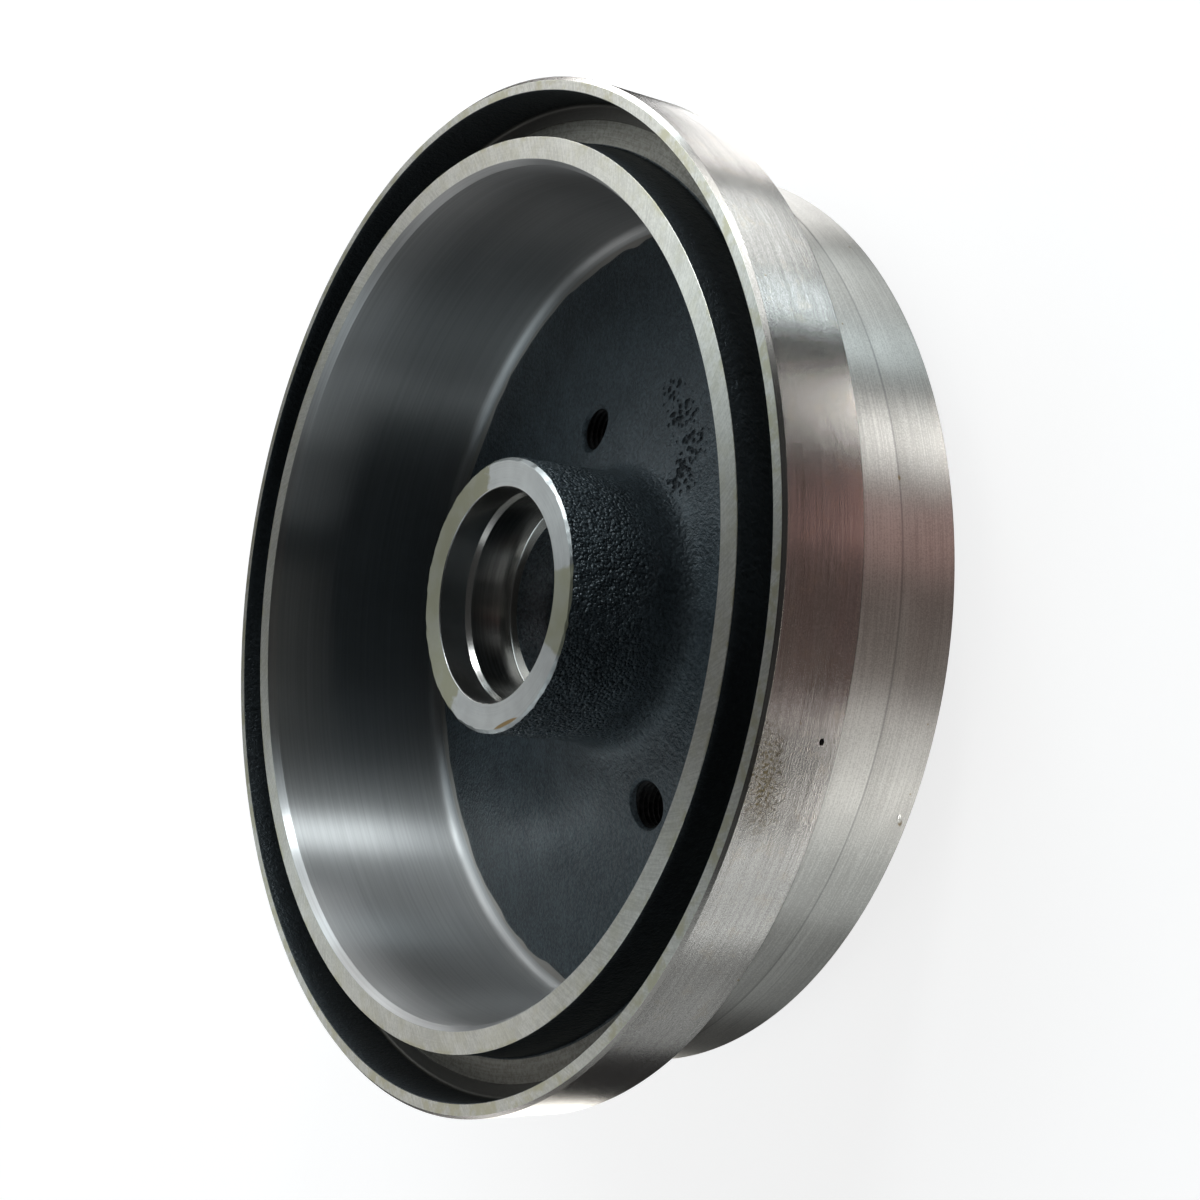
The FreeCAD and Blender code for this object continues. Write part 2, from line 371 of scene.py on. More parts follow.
breadth = HUB_BREADTH + HUB_BREADTH_SWING * np.abs(np.sin(column_angle - HUB_NARROW_ANGLE))
hub_path = round_path * HUB_R
nibbles = HUB_NIBBLE * value_noise(hub_path, HUB_NIBBLE_SIZE, 8)
breadth += nibbles + HUB_FINE_NIBBLE * value_noise(hub_path, HUB_FINE_NIBBLE_SIZE, 9)
scale_chamfer(HUB_R, HEIGHT - HUB_DEPTH, HUB_CHAMFER, breadth)
breadth = SKIRT_BREADTH - SKIRT_BREADTH_SWING * np.cos(column_angle - SKIRT_NARROW_ANGLE)
scale_chamfer(SKIRT_R, HEIGHT, SKIRT_CHAMFER, breadth)
grid = np.stack(
    [grid_r * np.cos(column_angle), grid_r * np.sin(column_angle), grid_z], axis=-1
)
points = [grid.reshape(-1, 3)]

row_index = np.arange(ROWS)[:, None]
column_index = np.arange(COLUMNS)[None, :]
next_row = (row_index + 1) % ROWS
next_column = (column_index + 1) % COLUMNS
quads = np.stack(
    [
        row_index * COLUMNS + column_index,
        row_index * COLUMNS + next_column,
        next_row * COLUMNS + next_column,
        next_row * COLUMNS + column_index,
    ],
    axis=-1,
)
quad_finish = np.repeat(row_finish[:, None], COLUMNS, axis=1)
kept = np.ones((ROWS, COLUMNS), bool)

# Four tapped holes for the wheel bolts: drilled through the web, countersunk at both
# ends and cut with a fine metric thread. Each hole takes the place of a square patch
# of the web on both sides, whose edge runs in to the hole's rim.
BOLT_COUNT = mount["wheel_bolts"]["dims"]["count"]
BOLT_START = 45.0
DRILL_R = mount["wheel_bolts"]["dims"]["hole_r_mm"]
THREAD_PITCH = 1.5
THREAD_HEIGHT = 0.812
SINK_R = 6.4
RIM_R = 6.55
PATCH_COLUMNS = 11
PATCH_LEVELS = 7
PATCH_CROWDING = 1.5
LEVELS_PER_TURN = 8
SINK_LEVELS = 6


def patch_edge(rows, columns):
    """Grid points round a patch: along its first row, and on round its other sides."""
    round_rows = [
        np.full(len(columns) - 1, rows[0]),
        rows[:-1],
        np.full(len(columns) - 1, rows[-1]),
        rows[:0:-1],
    ]
    round_columns = [
        columns[:-1],
        np.full(len(rows) - 1, columns[-1]),
        columns[:0:-1],
        np.full(len(rows) - 1, columns[0]),
    ]
    return np.concatenate(round_rows) * COLUMNS + np.concatenate(round_columns) % COLUMNS


def thread_radius(turn, height):
    """Radius of the threaded wall at a share of a turn and a height.

    The ridge climbs one pitch a turn. Across a pitch, the wall is flat at the drill's
    radius for a quarter, flat at the full radius for an eighth, and straight between.
    """
    phase = (height / THREAD_PITCH - turn) % 1.0
    away = np.abs(2 * phase - 1)
    return DRILL_R + THREAD_HEIGHT * np.clip((0.75 - away) / 0.625, 0, 1)


def hole_levels(edge_xy, centre):
    """Levels of one hole from the web's patch edge, down its wall, to the wheel face.

    A level is the patch edge drawn in towards the rim's circle by a share, or the
    circle itself with the thread's or a countersink's radius, whichever is larger.
    """
    offset = edge_xy - centre
    bearing = np.arctan2(offset[:, 1], offset[:, 0])
    ray = np.column_stack([np.cos(bearing), np.sin(bearing)])
    share = 1 - (1 - np.arange(1, PATCH_LEVELS + 1) / PATCH_LEVELS) ** PATCH_CROWDING
    circle = centre + RIM_R * ray
    drawn = edge_xy + (circle - edge_xy) * share[:, None, None]
    top = np.dstack([drawn, web_height(np.linalg.norm(drawn, axis=2))])
    bottom = np.dstack([drawn[::-1], np.full(drawn.shape[:2], WHEEL_Z)])
    high = top[-1, :, 2]
    turns = (high.mean() - WHEEL_Z) / THREAD_PITCH
    down = np.linspace(0, 1, round(turns * LEVELS_PER_TURN))[:, None]
    height = high * (1 - down) + WHEEL_Z * down
    near_end = np.minimum(high - height, height - WHEEL_Z)
    sunk = SINK_R - near_end
    radius = np.maximum(thread_radius(bearing / (2 * math.pi), height), sunk)
    flat = centre + radius[:, :, None] * ray
    wall = np.dstack([flat, height])
    return top, wall, bottom


in_patch = (row_r > PATCH_IN - 0.01) & (row_r < PATCH_OUT + 0.01)
web_rows = np.flatnonzero(in_patch & (row_finish == BLACK))
seat_rows = np.flatnonzero(in_patch & (row_finish == WHEEL))[::-1]
hole_quads = []
hole_finish = []
for number in range(BOLT_COUNT):
    middle = round((BOLT_START + number * 360 / BOLT_COUNT) * COLUMNS / 360)
    columns = np.arange(middle - PATCH_COLUMNS, middle + PATCH_COLUMNS + 1)
    for rows in (web_rows, seat_rows):
        kept[np.ix_(np.sort(rows)[:-1], columns[:-1] % COLUMNS)] = False
    start = patch_edge(web_rows, columns)
    end = patch_edge(seat_rows, columns)
    centre = BOLT_R * np.array([math.cos(column_angle[middle]), math.sin(column_angle[middle])])
    top, wall, bottom = hole_levels(points[0][start, :2], centre)
    levels = np.concatenate([top, wall, bottom[1:]])
    used = sum(len(block) for block in points)
    between = used + np.arange(levels.shape[0] * levels.shape[1]).reshape(levels.shape[:2])
    points.append(levels.reshape(-1, 3))
    ladder = np.vstack([start, between, end])
    turned = np.roll(ladder, -1, axis=1)
    hole_quads.append(
        np.stack([ladder[:-1], turned[:-1], turned[1:], ladder[1:]], axis=-1).reshape(-1, 4)
    )
    strip = np.full(len(ladder) - 1, THREAD)
    strip[: PATCH_LEVELS + SINK_LEVELS] = BLACK
    strip[-PATCH_LEVELS:] = WHEEL
    hole_finish.append(np.repeat(strip, ladder.shape[1]))

quads = np.vstack([quads[kept]] + hole_quads)
quad_finish = np.concatenate([quad_finish[kept]] + hole_finish)
points = np.vstack(points)
used, quads = np.unique(quads, return_inverse=True)
quads = quads.reshape(-1, 4)
points = points[used]

# The skin that the sand left: the hub's side is coarse and grainy down to where its
# core met the pattern. The web swells gently and rises a little more towards the hub.
# Turned faces have none of it.
HUB_GRAIN = 0.30
HUB_GRAIN_SIZE = 1.7
HUB_GRAIN_DEPTH = 27.0
HUB_GRAIN_FADE = 2.0
WEB_SWELL = 0.22
WEB_SWELL_SIZE = 11.0
WEB_LUMP_SIZE = WEB_SWELL_SIZE / 2.3
WEB_GRAIN = 0.05
WEB_GRAIN_SIZE = 2.6
HUB_FOOT_R = 35.0
HUB_SKIRT_START = 39.0
HUB_SKIRT_R = 57.0
HUB_SKIRT_RISE = 0.9
WEB_BACK = 3.0


def vertex_normals(corners, faces):
    """Unit normals at the points: the sum of the area normals of the faces around each."""
    first = corners[faces[:, 2]] - corners[faces[:, 0]]
    second = corners[faces[:, 3]] - corners[faces[:, 1]]
    area = np.cross(first, second)
    normal = np.zeros_like(corners)
    for axis in range(3):
        for corner in range(4):
            normal[:, axis] += np.bincount(faces[:, corner], area[:, axis], len(corners))
    return normal / np.linalg.norm(normal, axis=1)[:, None]


def skin_relief(corners, faces, finishes, outward):
    """How the cast skin moves each point, in millimetres: grain outwards, swell upwards.

    Machined points stay. On the hub's side the grain is a noise with half as much of a
    noise half its size. The web's swell is a noise with half as much of one with cells
    of WEB_LUMP_SIZE, and its rise falls off as a smooth step out to HUB_SKIRT_R.
    """
    machined = np.bincount(faces.ravel(), np.repeat(finishes != BLACK, 4), len(corners)) > 0
    radius = np.hypot(corners[:, 0], corners[:, 1])
    depth = HEIGHT - corners[:, 2]
    inside = (radius < FOOT_RING_R) & (depth < HEIGHT - WHEEL_Z - WEB_BACK) & ~machined
    top = HUB_DEPTH + HUB_CHAMFER + 0.1
    side = inside * ramp(depth, top, top + 1.0)
    side = side * (1 - ramp(radius, HUB_FOOT_R + 0.5, HUB_FOOT_R + 3.5))
    low, high = HUB_GRAIN_DEPTH - HUB_GRAIN_FADE, HUB_GRAIN_DEPTH + HUB_GRAIN_FADE
    coarse = side * (1 - ramp(depth, low, high))
    lumps = value_noise(corners, HUB_GRAIN_SIZE, 11)
    lumps = lumps + 0.5 * value_noise(corners, HUB_GRAIN_SIZE / 2, 12)
    web = inside * ramp(radius, HUB_FOOT_R + 2, HUB_FOOT_R + 8)
    web = web * (1 - ramp(radius, FOOT_RING_R - 5, FOOT_RING_R))
    swell = value_noise(corners, WEB_SWELL_SIZE, 21)
    swell = swell + 0.5 * value_noise(corners, WEB_LUMP_SIZE, 22)
    fine = value_noise(corners, WEB_GRAIN_SIZE, 23)
    rise = inside * ramp(radius, HUB_FOOT_R, HUB_SKIRT_START)
    rise = rise * (1 - ramp(radius, HUB_SKIRT_START, HUB_SKIRT_R)) * HUB_SKIRT_RISE
    moved = outward * (coarse * HUB_GRAIN * lumps)[:, None]
    moved[:, 2] += web * (WEB_SWELL * swell + WEB_GRAIN * fine) + rise
    return moved


normals = vertex_normals(points, quads)
points = points + skin_relief(points, quads, quad_finish, normals)
normals = vertex_normals(points, quads)

shape = bpy.data.meshes.new("brake_drum_casting")
shape.vertices.add(len(points))
shape.vertices.foreach_set("co", (points * MM).astype(np.float32).ravel())
shape.loops.add(quads.size)
shape.loops.foreach_set("vertex_index", quads.astype(np.int32).ravel())
shape.polygons.add(len(quads))
shape.polygons.foreach_set("loop_start", np.arange(0, quads.size, 4, dtype=np.int32))
shape.polygons.foreach_set("material_index", quad_finish.astype(np.int32))
shape.update(calc_edges=True)
shape.validate()
shape.polygons.foreach_set("use_smooth", np.ones(len(quads), bool))
shape.normals_split_custom_set_from_vertices(normals.astype(np.float32))
casting = bpy.data.objects.new("drum_casting", shape)
bpy.context.collection.objects.link(casting)
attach(casting, "root")
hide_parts("brake_drum")

for finish in FINISHES:
    paint = bpy.data.materials.new(finish)
    paint.use_nodes = True
    shape.materials.append(paint)

# Skirt and barrel: turned bright with a fine feed and left bare under a film of oil.
# A blowhole, a nick, some scratches and a few stains stay as they are on the real one.
TURNED_LIGHT = (0.66, 0.65, 0.61)
TURNED_DARK = (0.47, 0.457, 0.427)
OIL_BEIGE = (0.47, 0.41, 0.33)
SKIRT_PAINTED_SHADE = (0.74, 0.72, 0.72)
OUTSIDE_STRETCH = 0.45
OUTSIDE_FEED = 3.2
OUTSIDE_RING_LENGTH = 22.0
BAND_FEED = 0.45
BAND_LENGTH = 90.0
CLOUD_SCALE = 0.035
GRIT_SCALE = 1.6
SPARKLE_SCALE = 3.0
DRIED_SCALE = 0.22
DRIED_SHARE = 0.3
SPECK_SCALE = 0.11
SPECK_SHARE = 0.8
RAGGED_SCALE = 0.9
SKIRT_ROUGHNESS = 0.18
BARREL_ROUGHNESS = 0.27
STAIN_OLIVE = (0.16, 0.13, 0.075)
LINE_GREY = (0.20, 0.195, 0.185)
SPECK_BROWN = (0.26, 0.19, 0.08)
BLOWHOLE_SHADE_BLACK = (0.006, 0.005, 0.005)
OUTSIDE_RELIEF = 0.009
SPARKLE_RELIEF = 0.011
SCRATCH_DEPTH = 0.10
NICK_DEPTH = 0.03
BLOWHOLE_DEPTH = 0.3


def join(tree, socket, value):
    """Sets a socket to a plain value, or links another node's output to it."""
    if isinstance(value, bpy.types.NodeSocket):
        tree.links.new(value, socket)
    else:
        socket.default_value = value


def node(tree, kind, inputs, **settings):
    """One shader node with its settings and its inputs, given by name or by number."""
    made = tree.nodes.new("ShaderNode" + kind)
    for name, value in settings.items():
        setattr(made, name, value)
    for name, value in inputs.items():
        join(tree, made.inputs[name], value)
    return made


def reckon(tree, operation, first, second=0.0, third=0.0):
    """Result of one step of arithmetic on plain numbers or sockets."""
    made = node(tree, "Math", {0: first, 1: second, 2: third}, operation=operation)
    return made.outputs[0]


def steer(tree, operation, first, second=(0.0, 0.0, 0.0)):
    """Result of one step on vectors."""
    made = node(tree, "VectorMath", {0: first, 1: second}, operation=operation)
    number = operation in ("LENGTH", "DISTANCE", "DOT_PRODUCT")
    return made.outputs["Value" if number else "Vector"]


def fade(tree, value, low, high, start=0.0, end=1.0):
    """Smooth step of a value, from start where it is low to end where it is high."""
    inputs = {"Value": value, "From Min": low, "From Max": high, "To Min": start, "To Max": end}
    return node(tree, "MapRange", inputs, interpolation_type="SMOOTHSTEP").outputs["Result"]


def mottle(tree, vector, scale, detail=3.0, roughness=0.55):
    """Noise from about 0 to 1, with a given number of cells in a millimetre."""
    inputs = {"Vector": vector, "Scale": scale, "Detail": detail, "Roughness": roughness}
    return node(tree, "TexNoise", inputs).outputs["Fac"]


def add_up(tree, *parts, start=0.0):
    """Sum of parts, each a socket and its weight, added to a start."""
    for socket, weight in parts:
        start = reckon(tree, "MULTIPLY_ADD", socket, weight, start)
    return start


def blend(tree, share, low, high):
    """Colour between two: low at share 0, high at share 1."""
    low = (*low, 1.0) if isinstance(low, tuple) else low
    high = (*high, 1.0) if isinstance(high, tuple) else high
    return node(tree, "Mix", {0: share, 6: low, 7: high}, data_type="RGBA").outputs[2]


def finish_of(number):
    """Tree and shader of one finish of the casting."""
    tree = casting.data.materials[number].node_tree
    return tree, tree.nodes["Principled BSDF"]


def places(tree):
    """Point in millimetres from Object coordinates, its radius and its height."""
    metres = node(tree, "TexCoord", {}).outputs["Object"]
    point = steer(tree, "MULTIPLY", metres, (1 / MM, 1 / MM, 1 / MM))
    radius = steer(tree, "LENGTH", steer(tree, "MULTIPLY", point, (1.0, 1.0, 0.0)))
    height = node(tree, "SeparateXYZ", {0: point}).outputs[2]
    return point, radius, height


def lathe_rings(tree, feed, length, detail=2.0):
    """Rings that the tool left: noise squeezed across the feed and drawn out round it.

    Across is radius plus height, so it runs on over faces and round walls alike. Feed
    is ridges in a millimetre, and length how far a ridge runs before it changes.
    """
    point, radius, height = places(tree)
    drawn = steer(tree, "MULTIPLY", point, (1 / length, 1 / length, 0.0))
    across = reckon(tree, "MULTIPLY", reckon(tree, "ADD", radius, height), feed)
    lift = node(tree, "CombineXYZ", {2: across}).outputs[0]
    return mottle(tree, steer(tree, "ADD", drawn, lift), 1.0, detail, 0.6)


def turned_gloss(tree, shader, stretch):
    """Gloss of turned metal: drawn out across the rings by stretch, from 0 to 1."""
    metres = node(tree, "TexCoord", {}).outputs["Object"]
    round_it = steer(tree, "NORMALIZE", steer(tree, "CROSS_PRODUCT", (0.0, 0.0, 1.0), metres))
    shader.inputs["Metallic"].default_value = 1.0
    shader.inputs["Anisotropic"].default_value = stretch
    shader.inputs["Anisotropic Rotation"].default_value = 0.25
    join(tree, shader.inputs["Tangent"], round_it)


def emboss(tree, shader, heights):
    """Bends the shader's normal by a height in millimetres."""
    bent = node(tree, "Bump", {"Height": heights, "Strength": 1.0, "Distance": MM})
    join(tree, shader.inputs["Normal"], bent.outputs["Normal"])


def dress(tree, shader, colour, rough, relief):
    """Gives the shader its colour, its roughness and its relief in millimetres."""
    join(tree, shader.inputs["Base Color"], colour)
    join(tree, shader.inputs["Roughness"], rough)
    emboss(tree, shader, relief)


def at(angle, radius, depth):
    """Point in millimetres at an angle in degrees, a radius and a depth from the mouth."""
    turn = math.radians(angle)
    return (radius * math.cos(turn), radius * math.sin(turn), HEIGHT - depth)


def smudge(tree, centre, along, across, slant=0.0, ragged=0.0, edge=0.5, deep=30.0):
    """1 in the middle of an oval mark on a wall, falling to 0 at its edge.

    Along and across are half its lengths round the drum and up it in millimetres, and
    deep is half its length along the radius. Slant tips it by degrees. The oval's own
    radius is 1, less ragged times a noise, and the fall takes the share edge of it.
    """
    point, _, _ = places(tree)
    turn = (math.radians(slant), 0.0, math.atan2(centre[1], centre[0]))
    size = (deep, along, across)
    inputs = {"Vector": point, "Location": centre, "Rotation": turn, "Scale": size}
    away = steer(tree, "LENGTH", node(tree, "Mapping", inputs, vector_type="TEXTURE").outputs[0])
    if ragged:
        away = add_up(tree, (mottle(tree, point, RAGGED_SCALE, 4.0, 0.65), ragged), start=away)
    return fade(tree, away, 1 - edge, 1.0, 1.0, 0.0)


# Marks on the outside: each has its angle, radius and depth, half its length round the
# drum and up it, its slant, how ragged its outline is and how soft its edge.
OUTSIDE_MARKS = {
    "stain": (at(7.0, SKIRT_R, 4.0), 27.0, 11.0, 10.0, 0.9, 0.5),
    "long_scratch": (at(59.0, BARREL_R, 28.5), 9.0, 0.28, 2.0, 0.25, 0.6),
    "short_scratch": (at(62.0, BARREL_R, 30.6), 4.0, 0.15, 3.0, 0.2, 0.6),
    "oil_drop": (at(38.0, BARREL_R, LINE_DEPTH), 1.0, 0.7, 0.0, 0.4, 0.5),
    "nick": (at(0.8, BARREL_R, 52.4), 1.6, 0.8, 30.0, 0.3, 0.5),
    "nick_floor": (at(1.2, BARREL_R, 51.9), 1.5, 0.7, 30.0, 0.0, 0.5),
    "blowhole": (at(10.7, SKIRT_R, 15.3), 0.85, 0.70, 0.0, 0.2, 0.35),
}

tree, shader = finish_of(OUTSIDE)
turned_gloss(tree, shader, OUTSIDE_STRETCH)
mark = {name: smudge(tree, *sizes) for name, sizes in OUTSIDE_MARKS.items()}
point, radius, height = places(tree)
rings = lathe_rings(tree, OUTSIDE_FEED, OUTSIDE_RING_LENGTH)
bands = lathe_rings(tree, BAND_FEED, BAND_LENGTH)
clouds = mottle(tree, point, CLOUD_SCALE, 3.0)
grit = mottle(tree, point, GRIT_SCALE, 3.0, 0.6)
sparkle = mottle(tree, point, SPARKLE_SCALE, 1.0)
tone = add_up(tree, (clouds, 0.30), (rings, 0.35), (sparkle, 0.35))
colour = blend(tree, fade(tree, tone, 0.40, 0.60), TURNED_DARK, TURNED_LIGHT)
on_skirt = fade(tree, radius, BARREL_R + 1.0, BARREL_R + 3.0)
# The skirt's colour is darkened against the barrel's: painted shade, where the skirt reflects
# less light.
skirt_painted_shade = {0: on_skirt, 6: colour, 7: (*SKIRT_PAINTED_SHADE, 1.0)}
colour = node(tree, "Mix", skirt_painted_shade, data_type="RGBA", blend_type="MULTIPLY").outputs[2]
film = mottle(tree, point, DRIED_SCALE, 5.0, 0.75)
dried = fade(tree, film, 0.52, 0.66, 0.0, DRIED_SHARE)
on_wall = fade(tree, height, HEIGHT - SKIRT_CHAMFER - 1.0, HEIGHT - SKIRT_CHAMFER, 1.0, 0.0)
dried = reckon(tree, "MULTIPLY", dried, reckon(tree, "MULTIPLY", on_skirt, on_wall))
colour = blend(tree, dried, colour, OIL_BEIGE)
stain = reckon(tree, "MULTIPLY", mark["stain"], fade(tree, grit, 0.46, 0.56, 0.25, 1.0))
colour = blend(tree, stain, colour, STAIN_OLIVE)
off_line = reckon(tree, "ABSOLUTE", reckon(tree, "SUBTRACT", height, HEIGHT - LINE_DEPTH))
scribed = fade(tree, off_line, LINE_WIDTH * 0.3, LINE_WIDTH, 0.5, 0.0)
colour = blend(tree, scribed, colour, LINE_GREY)
scratch = reckon(tree, "MAXIMUM", mark["long_scratch"], mark["short_scratch"])
cells = node(tree, "TexVoronoi", {"Vector": point, "Scale": SPECK_SCALE}).outputs
chosen = fade(tree, node(tree, "SeparateColor", {0: cells["Color"]}).outputs[0], 0.60, 0.62)
specks = reckon(tree, "MULTIPLY", fade(tree, cells["Distance"], 0.02, 0.045, 1.0, 0.0), chosen)
nick = reckon(tree, "SUBTRACT", mark["nick"], mark["nick_floor"])
brown = reckon(tree, "MAXIMUM", reckon(tree, "MAXIMUM", specks, mark["oil_drop"]), nick)
colour = blend(tree, reckon(tree, "MULTIPLY", brown, SPECK_SHARE), colour, SPECK_BROWN)
# The blowhole is painted near black: painted shade inside the cavity.
colour = blend(tree, mark["blowhole"], colour, BLOWHOLE_SHADE_BLACK)
rough = fade(tree, on_skirt, 0.0, 1.0, BARREL_ROUGHNESS, SKIRT_ROUGHNESS)
rough = add_up(tree, (bands, 0.06), (rings, 0.05), (stain, 0.05), (nick, 0.16), start=rough)
relief = add_up(
    tree,
    (rings, OUTSIDE_RELIEF),
    (sparkle, SPARKLE_RELIEF),
    (scratch, -SCRATCH_DEPTH),
    (nick, -NICK_DEPTH),
    (mark["blowhole"], -BLOWHOLE_DEPTH),
)
dress(tree, shader, colour, rough, relief)

# Faced rings: the skirt's edge and the end of the friction wall, cut square in one
# pass. A grinder's slanting strokes cross them, and dried oil yellows the outer edge.
FACED_LIGHT = (0.70, 0.70, 0.65)
FACED_DARK = (0.52, 0.52, 0.475)
FACED_YELLOW = (0.50, 0.485, 0.35)
FACED_ROUGHNESS = 0.38
FACED_STRETCH = 0.85
FACED_FEED = 3.0
FACED_RING_LENGTH = 25.0
FACED_CLOUD_SCALE = 0.09
FACED_GRIT_SCALE = 1.8
FACED_OIL_SCALE = 0.16
STROKES = 1.9
STROKE_ACROSS = 0.25
STROKE_SLANT = math.tan(math.radians(35.0))
STROKE_RELIEF = 0.014
FACED_RELIEF = 0.012

tree, shader = finish_of(RING)
turned_gloss(tree, shader, FACED_STRETCH)
point, radius, _ = places(tree)
twist = reckon(tree, "MULTIPLY", radius, -STROKE_SLANT / FRICTION_R)
turning = {"Vector": point, "Angle": twist}
swung = node(tree, "VectorRotate", turning, rotation_type="Z_AXIS").outputs[0]
flat = steer(tree, "NORMALIZE", steer(tree, "MULTIPLY", swung, (1.0, 1.0, 0.0)))
wheel = steer(tree, "MULTIPLY", flat, (FRICTION_R * STROKES, FRICTION_R * STROKES, 0.0))
inward = node(tree, "CombineXYZ", {2: reckon(tree, "MULTIPLY", radius, STROKE_ACROSS)}).outputs[0]
strokes = mottle(tree, steer(tree, "ADD", wheel, inward), 1.0, 2.0, 0.6)
rings = lathe_rings(tree, FACED_FEED, FACED_RING_LENGTH)
clouds = mottle(tree, point, FACED_CLOUD_SCALE, 3.0)
grit = mottle(tree, point, FACED_GRIT_SCALE, 2.0, 0.6)
tone = add_up(tree, (clouds, 0.22), (strokes, 0.38), (grit, 0.28), (rings, 0.12))
colour = blend(tree, fade(tree, tone, 0.38, 0.62), FACED_DARK, FACED_LIGHT)
rim = fade(tree, radius, WALL_R - 1.2, WALL_R - 0.2)
oil_and_reflection = fade(tree, mottle(tree, point, FACED_OIL_SCALE, 4.0, 0.7), 0.45, 0.62)
oil_and_reflection = reckon(tree, "MULTIPLY", oil_and_reflection, add_up(tree, (rim, 0.6), start=0.25))
colour = blend(tree, oil_and_reflection, colour, FACED_YELLOW)
rough = add_up(tree, (strokes, 0.14), start=FACED_ROUGHNESS)
relief = add_up(tree, (grit, FACED_RELIEF), (strokes, STROKE_RELIEF))
dress(tree, shader, colour, rough, relief)

# Friction bore and foot ring: bored fine and even, so light stands on it in streaks
# down the wall. No shoe has run on it yet.
BORE_LIGHT = (0.45, 0.46, 0.46)
BORE_DARK = (0.37, 0.375, 0.375)
FOOT_BROWN = (0.30, 0.285, 0.26)
BORE_ROUGHNESS = 0.33
BORE_STRETCH = 1.0
BORE_FEED = 1.6
BORE_RING_LENGTH = 60.0
BORE_BAND_FEED = 0.3
BORE_BAND_LENGTH = 200.0
BORE_CLOUD_SCALE = 0.03
BORE_RELIEF = 0.001

tree, shader = finish_of(FRICTION)
turned_gloss(tree, shader, BORE_STRETCH)
point, radius, _ = places(tree)
rings = lathe_rings(tree, BORE_FEED, BORE_RING_LENGTH, 1.0)
bands = lathe_rings(tree, BORE_BAND_FEED, BORE_BAND_LENGTH)
clouds = mottle(tree, point, BORE_CLOUD_SCALE, 2.0)
tone = add_up(tree, (clouds, 0.5), (rings, 0.5))
colour = blend(tree, fade(tree, tone, 0.30, 0.70), BORE_DARK, BORE_LIGHT)
foot = fade(tree, radius, FRICTION_R - FOOT_ROUND - 0.6, FRICTION_R - FOOT_ROUND, 1.0, 0.0)
colour = blend(tree, reckon(tree, "MULTIPLY", foot, 0.8), colour, FOOT_BROWN)
rough = add_up(tree, (bands, 0.05), (foot, 0.14), start=BORE_ROUGHNESS)
dress(tree, shader, colour, rough, add_up(tree, (rings, BORE_RELIEF)))

# Black skin: the cast faces are dipped in thin black paint, which shows the sand's
# grain. The hub's side is coarse and glints, and the web has patches of small pits.
SKIN_BLACK = (0.018, 0.023, 0.027)
SKIN_GREY = (0.076, 0.097, 0.110)
SKIN_SHEEN = (0.80, 0.93, 1.0, 1.0)
GROOVE_SHADE_BLACK = (0.006, 0.007, 0.008)
PIT_SHADE_BLACK = (0.002, 0.002, 0.003)
SKIN_SPECULAR = 0.65
SAND_SCALE = 1.6
LUMP_SCALE = 0.85
DUST_SCALE = 0.10
GRAIN_SCALE = 1.15
GRAIN_GAP_SCALE = 0.8
PIT_SCALE = 0.68
PIT_EDGE_SCALE = 0.45
SKIN_ROUGHNESS = 0.37
HUB_ROUGHNESS = 0.24
LUMP_RELIEF = 0.32
SAND_RELIEF = 0.17
GRAIN_RELIEF = 0.8
PIT_DEPTH = 0.7

# Middle and reach of the patches of pits in the web, in millimetres.
PIT_PATCHES = [(-9.0, 55.0, 7.0), (-1.0, 51.0, 9.0), (7.0, 46.0, 9.0), (8.0, 38.5, 9.0)]

tree, shader = finish_of(BLACK)
shader.inputs["Specular Tint"].default_value = SKIN_SHEEN
shader.inputs["Specular IOR Level"].default_value = SKIN_SPECULAR
point, radius, height = places(tree)
sand = mottle(tree, point, SAND_SCALE, 3.0, 0.65)
lumps = mottle(tree, point, LUMP_SCALE, 2.0, 0.6)
dust = mottle(tree, point, DUST_SCALE, 4.0, 0.6)
tone = add_up(tree, (sand, 0.45), (lumps, 0.35), (dust, 0.20))
colour = blend(tree, fade(tree, tone, 0.38, 0.64), SKIN_BLACK, SKIN_GREY)
# Black skin deep in the dust groove is painted darker still: painted shade of the narrow groove.
groove_shade = fade(tree, radius, FRICTION_R, WALL_R - 1.0, 0.0, 0.8)
colour = blend(tree, groove_shade, colour, GROOVE_SHADE_BLACK)
hub_side = fade(tree, radius, HUB_FOOT_R, HUB_FOOT_R + 2.5, 1.0, 0.0)
hub_side = reckon(tree, "MULTIPLY", hub_side, fade(tree, height, 30.0, 42.0, 0.15, 1.0))
grains = node(tree, "TexVoronoi", {"Vector": point, "Scale": GRAIN_SCALE}).outputs["Distance"]
grains = reckon(tree, "MULTIPLY", reckon(tree, "MULTIPLY", grains, grains), 0.9)
grains = add_up(tree, (mottle(tree, point, GRAIN_GAP_SCALE, 2.0), -0.7), start=grains)
grains = reckon(tree, "MULTIPLY", grains, hub_side)
pitted = 0.0
for x, y, reach in PIT_PATCHES:
    middle = (x, y, web_height(math.hypot(x, y)))
    away = steer(tree, "DISTANCE", point, middle)
    pitted = reckon(tree, "MAXIMUM", pitted, fade(tree, away, reach * 0.2, reach, 1.0, 0.0))
inputs = {"Vector": point, "Scale": PIT_SCALE}
cells = node(tree, "TexVoronoi", inputs, feature="SMOOTH_F1").outputs
edges = mottle(tree, point, PIT_EDGE_SCALE, 3.0, 0.6)
hollows = add_up(tree, (edges, 0.8), start=cells["Distance"])
limit = add_up(tree, (pitted, 0.44), start=0.46)
pits = fade(tree, reckon(tree, "SUBTRACT", hollows, limit), -0.30, 0.0, 1.0, 0.0)
pits = reckon(tree, "MULTIPLY", pits, fade(tree, pitted, 0.0, 0.3))
